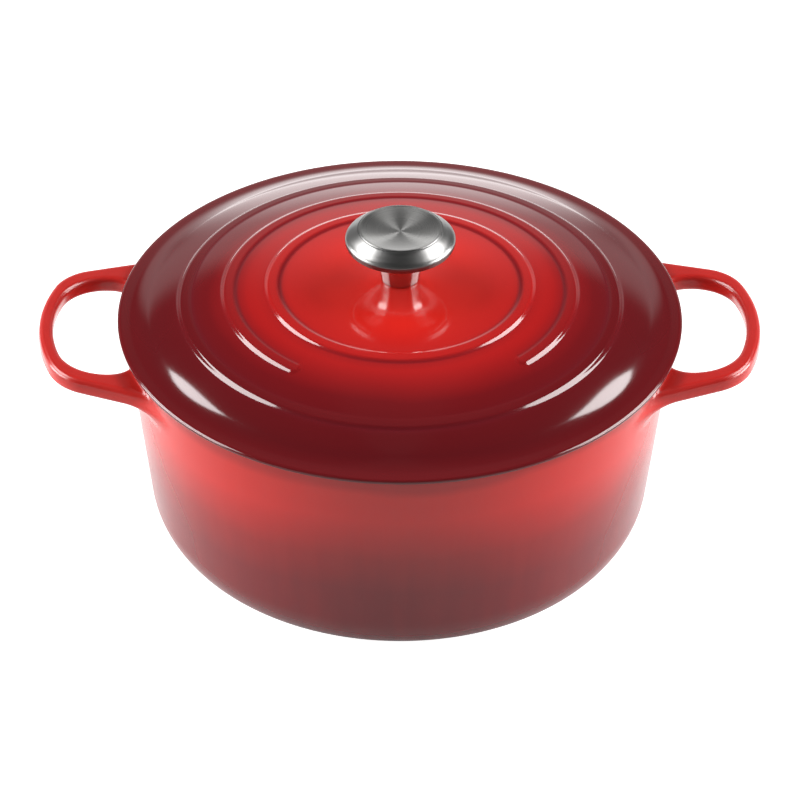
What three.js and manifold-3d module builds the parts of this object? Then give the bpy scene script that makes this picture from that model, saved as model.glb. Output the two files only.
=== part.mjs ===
// Round enamelled cast iron dutch oven with a lift-off lid and a steel knob.
// Millimetres. Origin at the centre of the flat foot, +Z up, +X through the two loop handles.
import * as THREE from "three";
import { mergeVertices } from "three/addons/utils/BufferGeometryUtils.js";
import Module from "manifold-3d";

const wasm = await Module();
wasm.setup();

// ---- driving dimensions ----
const GAP = 0.3; // between pieces that touch
const ROUND_SEGMENTS = 60; // around the pot and the lid
const SMALL_SEGMENTS = 30; // around the knob and its fixings
const CURVE_STEPS = 4; // along each curve of a profile
const CUT_PAST = 10; // how far a shape that cuts runs past what it cuts
const SAME_POINT = 0.1; // points closer than this are one point

const pot = {
  height: 126.4, // foot to rim
  footRadius: 98,
  footRingWidth: 14,
  footRecess: 1,
  cornerTopRadius: 130.8,
  cornerHeight: 28.7,
  cornerPull: 0.55, // how square the corner is, from 0 to 1
  rimRadius: 142.4,
  rimEdgeRadius: 1.3,
  wall: 4.1,
  base: 4.6,
  innerCornerRadius: 26,
  innerCornerLean: 2,
};

const handle = {
  thickness: 9,
  edgeRadius: 2.6,
  edgeSteps: 2,
  topBelowRim: 4.7, // at the wall
  tilt: THREE.MathUtils.degToRad(2.8), // the tip is higher than the root
  rootInside: 108, // how far in the bars run before the inside of the pot is cut away
  gapInside: 132, // how far in the finger gap runs: past the outside of the wall
};
// Each outline of a loop, from the tip: a flat end arc, a corner arc, then the way back to the wall.
const loopOuter = { tip: 186.5, endRadius: 97.5, endAngle: 21, cornerRadius: 27, cornerAngle: 71.6 };
const loopInner = {
  tip: 179, endRadius: 80, endAngle: 18.2, cornerRadius: 25, cornerAngle: 95,
  rearRadius: 15, rearAngle: 155,
};

const lid = {
  radius: 146, // widest, just above the edge
  widestHeight: 1.3,
  edgeRadius: 144.8, // at the underside
  domeHeight: 23.2, // of the plain dome at its centre, above the underside of the edge
  domeDrop: 11.2, // how far the dome has fallen at the outermost ring
  domePower: 2.7,
  shoulderStart: 122,
  shoulderEnd: { radius: 130, height: 5.9 },
  shoulderPulls: [[124, 8.14], [127.8, 6.88], [131.8, 5.1], [137, 3.14]],
  flangeStart: { radius: 140.2, height: 2.9 },
  flangeEnd: { radius: 144.2, height: 2.6 },
  thickness: 4,
  lipOuter: 137.1,
  lipWidth: 5.2,
  lipDepth: 4.2,
  lipDraft: 0.6,
  lipChamfer: 1,
  undersideFillet: 6, // from the lip and the pad to the plain underside
  undersideStep: 18,
  bossHeight: 24.2,
  bossRadius: 10.5,
  bossFlare: 34,
  bossPower: 2.4,
  bossStops: [14, 21, 28, 35], // radii where the flare has a row of points
  padRadius: 12,
  padHeight: 18.4,
  boreRadius: 3.5,
};
// A ring's section: distance from its middle line, and share of its height.
const ring = {
  radii: [65.7, 88.4, 111.1],
  height: 1,
  levelling: 0.5, // of its top, against the fall of the dome
  halfWidth: 4.9,
  section: [[-4.9, 0], [-3.7, 0.23], [-2.3, 0.97], [2.3, 0.97], [3.7, 0.23], [4.9, 0]],
};
// The middle ring stops short on the front of the lid.
const brokenRing = { index: 1, from: -46, to: 232 };

const knob = {
  footHeight: 24.5, // above the lid's edge, as are the knob's other heights
  footRadius: 9.8,
  neckHeight: 35,
  neckRadius: 11.9,
  rimHeight: 48.8,
  rimRadius: 28.3,
  rimSoft: 0.4, // how far the rim's round runs up and down
  discHeight: 55.2,
  discRadius: 21.3,
  dish: 0.8,
  bevelDrop: 2.2, // of the bevel's shoulder below the disc
  innerDrop: 1.4, // and of its inner side
  innerInset: 3,
  sheet: 1.5,
  foldRadius: 26.8, // where the cap's rim has turned under
  foldHeight: 45.3,
  foldTurn: 0.9,
  flareRise: 5, // the pulls of the trumpet's curve, at the neck and at its edge
  flareReach: 9,
  flareDrop: 1.6,
};
const screw = {
  radius: 3, chamfer: 0.8, bite: 12,
  headRadius: 6, headFlat: 3.3, headHeight: 3.6, slotWidth: 1.4, slotDepth: 1.8,
};
const washer = {
  bore: 3.3, flatRadius: 9, flatThickness: 1.2,
  springRadius: 5.6, springThickness: 1.5, split: 1,
};

const LID_Z = pot.height + GAP; // underside of the lid's edge

// ---- helpers ----
const degrees = THREE.MathUtils.degToRad;

function turned(profile, segments = ROUND_SEGMENTS) {
  return new THREE.LatheGeometry(profile, segments).rotateX(Math.PI / 2);
}

function point(radius, height) {
  return new THREE.Vector2(radius, height);
}

function solid(geometry) {
  const bare = geometry.index ? geometry.toNonIndexed() : geometry.clone();
  bare.deleteAttribute("normal");
  bare.deleteAttribute("uv");
  const merged = mergeVertices(bare, 1e-3);
  const mesh = new wasm.Mesh({
    numProp: 3,
    vertProperties: merged.attributes.position.array,
    triVerts: new Uint32Array(merged.index.array),
  });
  return new wasm.Manifold(mesh);
}

function geometryOf(body) {
  const mesh = body.getMesh();
  const geometry = new THREE.BufferGeometry();
  geometry.setAttribute("position", new THREE.BufferAttribute(mesh.vertProperties, mesh.numProp));
  geometry.setIndex(new THREE.BufferAttribute(mesh.triVerts, 1));
  geometry.computeVertexNormals();
  return geometry;
}

function named(name, geometry, material) {
  const mesh = new THREE.Mesh(geometry, material);
  mesh.name = name;
  return mesh;
}

// ---- pot ----
// The wall leans out in a straight line from the top of the foot's corner to the rim.
function wallRadius(height) {
  const rise = (height - pot.cornerHeight) / (pot.height - pot.cornerHeight);
  return pot.cornerTopRadius + rise * (pot.rimRadius - pot.cornerTopRadius);
}

function potOutside() {
  const lean = (pot.rimRadius - pot.cornerTopRadius) / (pot.height - pot.cornerHeight);
  const pull = pot.cornerPull;
  const sweep = pot.cornerTopRadius - pot.footRadius;
  const recessRadius = pot.footRadius - pot.footRingWidth;
  const profile = new THREE.Path();
  profile.moveTo(0, pot.footRecess);
  profile.lineTo(recessRadius - pot.footRecess, pot.footRecess);
  profile.lineTo(recessRadius, 0);
  profile.lineTo(pot.footRadius, 0);
  profile.bezierCurveTo(
    pot.footRadius + pull * sweep, 0,
    pot.cornerTopRadius - pull * pot.cornerHeight * lean, (1 - pull) * pot.cornerHeight,
    pot.cornerTopRadius, pot.cornerHeight,
  );
  profile.lineTo(wallRadius(pot.height - pot.rimEdgeRadius), pot.height - pot.rimEdgeRadius);
  profile.quadraticCurveTo(pot.rimRadius, pot.height, pot.rimRadius - pot.rimEdgeRadius, pot.height);
  profile.lineTo(0, pot.height);
  return turned(profile.getPoints(CURVE_STEPS));
}

function potInside() {
  const rimInner = pot.rimRadius - pot.wall;
  const cornerInner = wallRadius(pot.base + pot.innerCornerRadius) - pot.wall;
  const profile = new THREE.Path();
  profile.moveTo(0, pot.base);
  profile.lineTo(cornerInner - pot.innerCornerRadius, pot.base);
  profile.quadraticCurveTo(
    cornerInner - pot.innerCornerLean, pot.base,
    cornerInner, pot.base + pot.innerCornerRadius,
  );
  profile.lineTo(rimInner, pot.height - pot.rimEdgeRadius);
  profile.lineTo(rimInner + pot.rimEdgeRadius, pot.height);
  profile.lineTo(rimInner + pot.rimEdgeRadius, pot.height + CUT_PAST);
  profile.lineTo(0, pot.height + CUT_PAST);
  return turned(profile.getPoints(CURVE_STEPS));
}

// One half of a loop's outline, y above 0, from the tip round to the wall; mirrored by the callers.
function loopHalf(outline) {
  const { tip, endRadius, endAngle, cornerRadius, cornerAngle, rearRadius, rearAngle } = outline;
  const path = new THREE.Path();
  const first = degrees(endAngle);
  const second = degrees(cornerAngle);
  const endCentre = tip - endRadius;
  path.absarc(endCentre, 0, endRadius, 0, first);
  const reach = endRadius - cornerRadius;
  const corner = point(endCentre + reach * Math.cos(first), reach * Math.sin(first));
  path.absarc(corner.x, corner.y, cornerRadius, first, second);
  if (rearRadius) {
    const inward = cornerRadius - rearRadius;
    const rear = point(corner.x + inward * Math.cos(second), corner.y + inward * Math.sin(second));
    path.absarc(rear.x, rear.y, rearRadius, second, degrees(rearAngle));
  }
  // Two arcs share the point where they meet, so the second copy goes.
  const points = path.getPoints(CURVE_STEPS - 1);
  return points.filter((p, i) => i === 0 || p.distanceTo(points[i - 1]) > SAME_POINT);
}

function loopOutline(outline) {
  const half = loopHalf(outline);
  const last = half.at(-1);
  if (!outline.rearRadius) {
    const slope = Math.tan(degrees(outline.cornerAngle + 90));
    half.push(point(handle.rootInside, last.y + slope * (handle.rootInside - last.x)));
  } else {
    half.push(point(handle.gapInside, last.y - CUT_PAST));
  }
  const mirrored = half.slice(1).reverse().map((p) => point(p.x, -p.y));
  return mirrored.concat(half);
}

function handleLoop(side) {
  const shape = new THREE.Shape(loopOutline(loopOuter));
  shape.holes.push(new THREE.Path(loopOutline(loopInner)));
  const plate = new THREE.ExtrudeGeometry(shape, {
    depth: handle.thickness - 2 * handle.edgeRadius,
    bevelThickness: handle.edgeRadius,
    bevelSize: handle.edgeRadius,
    bevelOffset: -handle.edgeRadius,
    bevelSegments: handle.edgeSteps,
  });
  plate.translate(-pot.rimRadius, 0, handle.edgeRadius - handle.thickness);
  plate.rotateY(-handle.tilt);
  plate.translate(pot.rimRadius, 0, pot.height - handle.topBelowRim);
  if (side < 0) plate.rotateZ(Math.PI);
  return plate;
}

function potCasting() {
  let casting = solid(potOutside());
  for (const side of [1, -1]) casting = casting.add(solid(handleLoop(side)));
  return geometryOf(casting.subtract(solid(potInside())));
}

// ---- lid ----
// Height of the plain dome above the underside of the lid's edge.
function domeHeight(radius) {
  const outermost = ring.radii.at(-1);
  return lid.domeHeight - lid.domeDrop * (radius / outermost) ** lid.domePower;
}

// The dome with its boss, which flares up to the knob's foot.
function lidTopHeight(radius) {
  const share = THREE.MathUtils.clamp((lid.bossFlare - radius) / (lid.bossFlare - lid.bossRadius), 0, 1);
  const base = domeHeight(radius);
  return base + (lid.bossHeight - base) * share ** lid.bossPower;
}

// How far the dome falls in each millimetre outwards.
function domeFall(radius) {
  return domeHeight(radius) - domeHeight(radius + 1);
}

function lidTopProfile() {
  const points = [point(lid.boreRadius, lid.bossHeight), point(lid.bossRadius, lid.bossHeight)];
  for (const radius of lid.bossStops) points.push(point(radius, lidTopHeight(radius)));
  for (const radius of ring.radii) {
    for (const [offset, share] of ring.section) {
      const level = ring.height + ring.levelling * domeFall(radius) * offset;
      points.push(point(radius + offset, domeHeight(radius + offset) + share * level));
    }
  }
  return points;
}

// The dome steepens into a shoulder, which runs out into a narrow, nearly level flange.
function lidShoulder() {
  const { shoulderStart, shoulderEnd, flangeStart, flangeEnd, radius, widestHeight, edgeRadius } = lid;
  const profile = new THREE.Path();
  profile.moveTo(shoulderStart, domeHeight(shoulderStart));
  const [first, second, third, fourth] = lid.shoulderPulls;
  profile.bezierCurveTo(...first, ...second, shoulderEnd.radius, shoulderEnd.height);
  profile.bezierCurveTo(...third, ...fourth, flangeStart.radius, flangeStart.height);
  profile.lineTo(flangeEnd.radius, flangeEnd.height);
  profile.quadraticCurveTo(radius, flangeEnd.height, radius, widestHeight);
  profile.quadraticCurveTo(radius, 0, edgeRadius, 0);
  return profile.getPoints(CURVE_STEPS);
}

function lidUnderside() {
  const { lipOuter, lipDepth, lipDraft, lipChamfer, undersideFillet } = lid;
  const lipInner = lipOuter - lid.lipWidth;
  const points = [
    point(lipOuter, 0),
    point(lipOuter - lipDraft, lipChamfer - lipDepth),
    point(lipOuter - lipDraft - lipChamfer, -lipDepth),
    point(lipInner + lipChamfer, -lipDepth),
    point(lipInner, lipChamfer - lipDepth),
    point(lipInner - lipDraft, domeHeight(lipInner) - lid.thickness - lipChamfer),
  ];
  const last = lid.padRadius + undersideFillet;
  for (let radius = lipInner - undersideFillet; radius > last; radius -= lid.undersideStep) {
    points.push(point(radius, domeHeight(radius) - lid.thickness));
  }
  points.push(point(lid.padRadius + lipChamfer, lid.padHeight), point(lid.boreRadius, lid.padHeight));
  return points;
}

// What is cut away where the middle ring stops short: a slice of a band that stands on the dome.
function ringBreak() {
  const middle = ring.radii[brokenRing.index];
  const inner = middle - ring.halfWidth;
  const outer = middle + ring.halfWidth;
  const above = 2 * ring.height;
  const band = turned([
    point(inner, domeHeight(inner)),
    point(outer, domeHeight(outer)),
    point(outer, domeHeight(inner) + above),
    point(inner, domeHeight(inner) + above),
    point(inner, domeHeight(inner)),
  ]);
  const slice = new THREE.Shape();
  slice.moveTo(0, 0);
  for (const angle of [brokenRing.to, 270, 360 + brokenRing.from]) {
    slice.lineTo(2 * outer * Math.cos(degrees(angle)), 2 * outer * Math.sin(degrees(angle)));
  }
  const wedge = new THREE.ExtrudeGeometry(slice, { depth: lid.bossHeight, bevelEnabled: false });
  return solid(band).intersect(solid(wedge));
}

function lidCasting() {
  const outline = [...lidTopProfile(), ...lidShoulder(), ...lidUnderside()];
  outline.push(outline[0].clone());
  const shell = turned(outline.reverse());
  return geometryOf(solid(shell).subtract(ringBreak()));
}

// ---- knob and its fixings ----
function knobTop() {
  const { discRadius, discHeight, dish, rimRadius, rimHeight, rimSoft, sheet } = knob;
  const { foldRadius, foldHeight, foldTurn, bevelDrop, innerDrop, innerInset } = knob;
  const inner = discHeight - sheet;
  const profile = new THREE.Path();
  profile.moveTo(0, inner - dish);
  profile.quadraticCurveTo(discRadius / 2, inner - dish, discRadius - 1, inner);
  profile.quadraticCurveTo(rimRadius - innerInset, inner - innerDrop, rimRadius - sheet, rimHeight + rimSoft);
  profile.lineTo(foldRadius - rimSoft, foldHeight + foldTurn);
  profile.lineTo(foldRadius, foldHeight);
  profile.quadraticCurveTo(rimRadius - rimSoft, foldHeight, rimRadius, rimHeight - rimSoft);
  profile.quadraticCurveTo(rimRadius - rimSoft, discHeight - bevelDrop, discRadius, discHeight);
  profile.quadraticCurveTo(discRadius / 2, discHeight - dish, 0, discHeight - dish);
  return turned(profile.getPoints(CURVE_STEPS), SMALL_SEGMENTS);
}

function knobSkirt() {
  const { footRadius, footHeight, neckRadius, neckHeight, foldRadius, foldHeight, sheet } = knob;
  const edge = foldRadius - knob.foldTurn;
  const pulls = [
    point(neckRadius + 1, neckHeight + knob.flareRise),
    point(edge - knob.flareReach, foldHeight - knob.flareDrop),
  ];
  const profile = new THREE.Path();
  profile.moveTo(footRadius, footHeight);
  profile.lineTo(neckRadius, neckHeight);
  profile.bezierCurveTo(pulls[0].x, pulls[0].y, pulls[1].x, pulls[1].y, edge, foldHeight);
  profile.lineTo(edge, foldHeight + sheet);
  profile.bezierCurveTo(
    pulls[1].x, pulls[1].y + sheet,
    pulls[0].x - sheet, pulls[0].y + sheet,
    neckRadius - sheet, neckHeight,
  );
  profile.lineTo(footRadius - sheet, footHeight);
  profile.lineTo(footRadius, footHeight);
  return turned(profile.getPoints(CURVE_STEPS + 1), SMALL_SEGMENTS);
}

function knobBush() {
  const { footRadius, footHeight, neckRadius, neckHeight, sheet } = knob;
  const profile = [
    point(washer.bore, footHeight),
    point(footRadius - sheet - GAP, footHeight),
    point(neckRadius - sheet - GAP, neckHeight),
    point(neckRadius - sheet - GAP - 1, neckHeight + 1),
    point(washer.bore, neckHeight + 1),
    point(washer.bore, footHeight),
  ];
  return turned(profile, SMALL_SEGMENTS);
}

function ringPlate(outer, low, thickness) {
  const profile = [
    point(washer.bore, low),
    point(outer, low),
    point(outer, low + thickness),
    point(washer.bore, low + thickness),
    point(washer.bore, low),
  ];
  return turned(profile, SMALL_SEGMENTS);
}

const flatWasherLow = lid.padHeight - GAP - washer.flatThickness;
const springWasherLow = flatWasherLow - GAP - washer.springThickness;
const screwHeadTop = springWasherLow - GAP;

// A split ring: the washer's cut is at its back.
function springWasher() {
  const plate = solid(ringPlate(washer.springRadius, springWasherLow, washer.springThickness));
  const cut = new THREE.BoxGeometry(washer.split, washer.springRadius, 3 * washer.springThickness);
  cut.translate(0, washer.springRadius, springWasherLow);
  return geometryOf(plate.subtract(solid(cut)));
}

function knobScrew() {
  const tip = knob.footHeight + screw.bite;
  const low = screwHeadTop - screw.headHeight;
  const profile = new THREE.Path();
  profile.moveTo(0, low);
  profile.lineTo(screw.headFlat, low);
  profile.quadraticCurveTo(screw.headRadius, low, screw.headRadius, screwHeadTop - screw.chamfer);
  profile.lineTo(screw.headRadius, screwHeadTop);
  profile.lineTo(screw.radius, screwHeadTop);
  profile.lineTo(screw.radius, tip - screw.chamfer);
  profile.lineTo(screw.radius - screw.chamfer, tip);
  profile.lineTo(0, tip);
  const slot = new THREE.BoxGeometry(screw.headRadius * 3, screw.slotWidth, 2 * screw.slotDepth);
  slot.translate(0, 0, low);
  return geometryOf(solid(turned(profile.getPoints(CURVE_STEPS - 1), SMALL_SEGMENTS)).subtract(solid(slot)));
}

// ---- finishes ----
function finish(color, roughness, metalness) {
  return new THREE.MeshStandardMaterial({ color, roughness, metalness });
}

const potEnamel = finish(0xc8281e, 0.18, 0);
const lidEnamel = finish(0xb01d1a, 0.12, 0);
const brushedSteel = finish(0x9a9a98, 0.28, 1);
const polishedSteel = finish(0xc4c4c2, 0.12, 1);
const plainSteel = finish(0x8d8d8a, 0.4, 1);

// ---- assembly ----
const dutchOven = new THREE.Group();
dutchOven.add(named("pot", potCasting(), potEnamel));

const lidGroup = new THREE.Group();
lidGroup.position.z = LID_Z;
lidGroup.add(
  named("lid", lidCasting(), lidEnamel),
  named("knob_top", knobTop(), brushedSteel),
  named("knob_skirt", knobSkirt(), polishedSteel),
  named("knob_bush", knobBush(), plainSteel),
  named("knob_screw", knobScrew(), plainSteel.clone()),
  named("flat_washer", ringPlate(washer.flatRadius, flatWasherLow, washer.flatThickness), plainSteel.clone()),
  named("spring_washer", springWasher(), plainSteel.clone()),
);
dutchOven.add(lidGroup);

export default dutchOven;
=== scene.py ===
"""Enamelled cast iron dutch oven with a steel knob: its looks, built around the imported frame.

Lengths are in millimetres until a mesh is made; heights on the lid and the knob are above the lid's edge.
"""
from math import cos, hypot, pi, radians, sin

import bmesh
import bpy
import numpy as np
from mathutils import Matrix, Vector

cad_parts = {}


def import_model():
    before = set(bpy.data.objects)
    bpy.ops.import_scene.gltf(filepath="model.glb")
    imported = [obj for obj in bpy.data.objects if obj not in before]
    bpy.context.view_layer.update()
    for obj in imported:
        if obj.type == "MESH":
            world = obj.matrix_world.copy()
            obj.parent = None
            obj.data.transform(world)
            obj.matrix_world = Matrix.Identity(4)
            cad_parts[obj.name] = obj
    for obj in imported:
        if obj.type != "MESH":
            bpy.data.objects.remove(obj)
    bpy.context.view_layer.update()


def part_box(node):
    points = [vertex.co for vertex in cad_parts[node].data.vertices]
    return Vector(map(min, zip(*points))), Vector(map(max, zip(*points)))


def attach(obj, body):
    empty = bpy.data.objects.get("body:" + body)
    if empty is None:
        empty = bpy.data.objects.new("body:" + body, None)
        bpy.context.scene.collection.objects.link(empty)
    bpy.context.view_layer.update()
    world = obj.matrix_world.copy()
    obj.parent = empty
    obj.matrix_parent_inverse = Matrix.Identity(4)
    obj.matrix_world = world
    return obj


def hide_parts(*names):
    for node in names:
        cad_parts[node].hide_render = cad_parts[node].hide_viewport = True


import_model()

MM = 0.001

# ---- driving dimensions, from the frame ----
pot_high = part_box("pot")[1] / MM
lid_low, lid_high = (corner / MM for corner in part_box("lid"))
cap_low, cap_high = (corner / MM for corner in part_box("knob_top"))
bush_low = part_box("knob_bush")[0] / MM

RIM_HEIGHT = pot_high.z
RIM_RADIUS = pot_high.y
LOOP_TIP = pot_high.x
LIP_DEPTH = 4.2
EDGE_HEIGHT = lid_low.z + LIP_DEPTH  # of the underside of the lid's edge, above the floor
LID_RADIUS = lid_high.y
BOSS_HEIGHT = lid_high.z - EDGE_HEIGHT
DISC_HEIGHT = cap_high.z - EDGE_HEIGHT
FOLD_HEIGHT = cap_low.z - EDGE_HEIGHT
KNOB_RADIUS = cap_high.y

# ---- pot ----
FOOT_RADIUS = 98.0
FOOT_RING = 14.0
FOOT_RECESS = 1.0
CORNER_HEIGHT = 28.7
CORNER_RADIUS = 130.8
WALL = 4.1
BASE = 4.6
INNER_CORNER = 26.0
RIM_ROUND = 1.3
RIM_BAND = 1.8  # of the matt enamel down the outside
STRAIGHT_HEIGHT = 94.0  # where the rows of the wall come closer together below the handles
COLUMNS = 480
LEAN = (RIM_RADIUS - CORNER_RADIUS) / (RIM_HEIGHT - CORNER_HEIGHT)

# ---- loop handles ----
LOOP_THICKNESS = 9.0
LOOP_EDGE = 2.7
LOOP_TOP = RIM_HEIGHT - 4.7
LOOP_TILT = radians(2.8)
FILLET_BELOW = 12.0
FILLET_ABOVE = 3.2
# Each outline from the tip: (radius of an arc, the angle at which it ends, in degrees).
OUTER_ARCS = [(97.5, 21.0), (27.0, 71.6)]
INNER_ARCS = [(80.0, 18.2), (25.0, 95.0), (15.0, 155.0)]
BAR_WIDTH = 7.5
ROOT_COLUMNS = (19, 34)  # where a bar leaves the wall
ROOT_HEIGHTS = (112.4, 121.4)
ROOT_ROWS = 8
LOOP_SECTIONS = 58  # from the wall to the tip
BLEND_ANGLE = radians(38)
BLEND_HEIGHTS = (97.0, 125.0)

# ---- lid ----
DOME_HEIGHT = 23.2
DOME_DROP = 11.2
DOME_POWER = 2.7
RING_RADII = (65.7, 88.4, 111.1)
RING_HEIGHTS = (0.8, 0.7, 0.6)
RING_FLAT = 1.6  # half of the flat middle of a ridge
RING_CROWN = 3.5  # radius of its shoulders
RING_FILLET = 4.0  # radius of the hollow along its foot
RING_REACH = 5.2  # on each side of a ridge's middle line, where rows are close together
RING_LEVEL = 0.5  # how far a ridge's top is levelled against the fall of the dome
BROKEN_RING = (radians(-46), radians(232))  # the middle ridge stops short on the front
BOSS_RADIUS = 10.5
BOSS_FLARE = 34.0
BORE = 3.5
INNER_END = 60.0  # of the even rows between the boss and the first ridge
SHOULDER_START = 122.0
SHOULDER_END = (130.0, 5.9)
FLANGE_START = (140.2, 2.9)
FLANGE_END = (144.2, 2.6)
EDGE_UNDER = 144.8  # where the edge's rounding meets its flat underside
EDGE_ROWS = (14, 14, 6, 6, 5)  # along the shoulder, the flange and the edge
SEAT_ROWS = (4, 3, 2)  # along the edge's flat underside and the lip's outer face
LIP_OUTER = 137.1
LIP_WIDTH = 5.2
LID_THICKNESS = 4.0
PAD_RADIUS = 12.0
PAD_HEIGHT = 18.4

# ---- knob and fixings ----
STEM_FOOT = bush_low.z - EDGE_HEIGHT
STEM_FOOT_RADIUS = 9.8
NECK_HEIGHT = 35.0
NECK_RADIUS = 11.9
CAP_RIM_HEIGHT = 48.8
FOLD_RADIUS = 26.8
DISC_RADIUS = 21.3
DISH = 1.8
SHEET = 1.5
TURNED_COLUMNS = 144
FIXING_COLUMNS = 72
FIXING_BORE = 3.3


# ---- small geometry helpers ----
def line(start, end, steps):
    """Points from start to end, without the end."""
    share = np.arange(steps)[:, None] / steps
    return np.array(start) * (1 - share) + np.array(end) * share


def curve(points, steps):
    """Points along a Bezier curve, without its end."""
    points = np.array(points, float)
    share = (np.arange(steps) / steps)[:, None]
    levels = [np.repeat(p[None], steps, 0) for p in points]
    while len(levels) > 1:
        levels = [a * (1 - share) + b * share for a, b in zip(levels, levels[1:])]
    return levels[0]


def rounded(start, corner, end, steps):
    """A quarter-round between two straight stretches, without its end."""
    start, corner, end = (np.array(p, float) for p in (start, corner, end))
    angle = (np.arange(steps) / steps * pi / 2)[:, None]
    return corner + (start - corner) * (1 - np.sin(angle)) + (end - corner) * (1 - np.cos(angle))


def turned(profile, columns, closed):
    """Vertices and faces of a turned shape. An open profile starts and ends on the axis."""
    angles = np.arange(columns) * 2 * pi / columns
    rows = profile if closed else profile[1:-1]
    points = np.stack(
        [
            rows[:, None, 0] * np.cos(angles),
            rows[:, None, 0] * np.sin(angles),
            np.repeat(rows[:, 1:2], columns, 1),
        ],
        axis=2,
    ).reshape(-1, 3)
    faces = grid_faces(len(rows), columns, closed)
    if not closed:
        first, last = len(points), len(points) + 1
        points = np.vstack([points, [0, 0, profile[0, 1]], [0, 0, profile[-1, 1]]])
        top = (len(rows) - 1) * columns
        for c in range(columns):
            d = (c + 1) % columns
            faces.append((first, c, d))
            faces.append((last, top + d, top + c))
    return points, faces


def grid_faces(rows, columns, closed, skip=lambda row, column: False):
    """Quads of a grid that wraps round in its columns, and in its rows where it is closed."""
    faces = []
    for r in range(rows if closed else rows - 1):
        s = (r + 1) % rows
        for c in range(columns):
            if not skip(r, c):
                d = (c + 1) % columns
                faces.append((r * columns + c, s * columns + c, s * columns + d, r * columns + d))
    return faces


def piece(name, points, faces, materials, body, replaces, choose=None, zones=None):
    """A mesh from millimetres, smooth, facing out, which rides on a body and replaces a CAD node."""
    mesh = bpy.data.meshes.new(name)
    mesh.from_pydata((np.asarray(points) * MM).tolist(), [], faces)
    for material in materials:
        mesh.materials.append(material)
    for zone, values in (zones or {}).items():
        attribute = mesh.attributes.new(zone, "FLOAT", "POINT")
        attribute.data.foreach_set("value", np.asarray(values, np.float32))
    tidy = bmesh.new()
    tidy.from_mesh(mesh)
    loose = [vertex for vertex in tidy.verts if not vertex.link_faces]
    bmesh.ops.delete(tidy, geom=loose, context="VERTS")
    bmesh.ops.recalc_face_normals(tidy, faces=tidy.faces)
    for face in tidy.faces:
        face.smooth = True
        if choose:
            face.material_index = choose(face.calc_center_median() / MM)
    tidy.to_mesh(mesh)
    tidy.free()
    made = bpy.data.objects.new(name, mesh)
    bpy.context.scene.collection.objects.link(made)
    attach(made, body)
    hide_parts(replaces)
    return made


# ---- materials ----
class Nodes:
    """The node tree of a material or of the world, built up by short calls."""

    def __init__(self, owner):
        owner.use_nodes = True
        self.owner = owner
        self.tree = owner.node_tree
        self.shader = self.tree.nodes.get("Principled BSDF")

    def add(self, kind, inputs=None, **settings):
        node = self.tree.nodes.new("ShaderNode" + kind)
        for key, value in settings.items():
            setattr(node, key, value)
        for key, value in (inputs or {}).items():
            self.feed(node, key, value)
        return node

    def feed(self, node, key, value):
        if isinstance(value, bpy.types.NodeSocket):
            self.tree.links.new(value, node.inputs[key])
        else:
            node.inputs[key].default_value = value

    def shade(self, **inputs):
        for key, value in inputs.items():
            self.feed(self.shader, key.replace("_", " "), value)

    def math(self, operation, a, b=0.0, c=0.0, clamp=False):
        return self.add("Math", {0: a, 1: b, 2: c}, operation=operation, use_clamp=clamp).outputs[0]

    def span(self, value, low, high, to_low=0.0, to_high=1.0, kind="SMOOTHSTEP"):
        inputs = {"Value": value, "From Min": low, "From Max": high, "To Min": to_low, "To Max": to_high}
        return self.add("MapRange", inputs, interpolation_type=kind).outputs["Result"]

    def mix(self, share, a, b):
        node = self.add("Mix", data_type="RGBA")
        self.feed(node, 0, share)
        self.feed(node, 6, a)
        self.feed(node, 7, b)
        return node.outputs[2]

    def noise(self, where, scale, detail=2.0):
        inputs = {"Vector": where, "Scale": scale, "Detail": detail}
        return self.add("TexNoise", inputs).outputs["Fac"]

    def stretched(self, where, scale):
        return self.add("Mapping", {"Vector": where, "Scale": scale}).outputs["Vector"]

    def ramp(self, value, stops):
        node = self.add("ValToRGB", {"Fac": value})
        elements = node.color_ramp.elements
        while len(elements) < len(stops):
            elements.new(0.5)
        for element, (position, colour) in zip(elements, stops):
            element.position = position
            element.color = (*colour, 1)
        return node.outputs["Color"]

    def bump(self, height, strength, distance):
        inputs = {"Height": height, "Strength": strength, "Distance": distance}
        return self.add("Bump", inputs).outputs["Normal"]

    def place(self):
        return self.add("TexCoord").outputs["Object"]

    def radius(self, place):
        """The distance from the vertical axis."""
        split = self.add("SeparateXYZ", {0: place})
        squares = [self.math("MULTIPLY", split.outputs[k], split.outputs[k]) for k in "XY"]
        return self.math("SQRT", self.math("ADD", *squares))

    def sideways(self, split):
        """How far to the side a place lies, as a share of how far back it lies."""
        return self.math("DIVIDE", self.math("ABSOLUTE", split.outputs["X"]), split.outputs["Y"])


def new_material(name):
    return Nodes(bpy.data.materials.new(name))


BRIGHT_RED = (0.40, 0.0130, 0.0090)
RIDGE_SHADE_RED = (0.075, 0.0050, 0.0080, 1)  # painted shade beside the ridges, the darkest red
SAND = (0.62, 0.53, 0.40, 1)
RIM_BLACK = (0.022, 0.018, 0.017, 1)


def zoned(nodes, red, place):
    """The outside colour, with the sand enamel inside and the matt black on the rims."""
    inside = nodes.add("Attribute", attribute_name="inside").outputs["Fac"]
    rim = nodes.add("Attribute", attribute_name="rim").outputs["Fac"]
    speck = nodes.span(nodes.noise(place, 900.0, 3.0), 0.62, 0.70)
    sand = nodes.mix(nodes.math("MULTIPLY", speck, 0.25), SAND, (0.45, 0.36, 0.26, 1))
    return nodes.mix(rim, nodes.mix(inside, red, sand), RIM_BLACK), inside, rim


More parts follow.
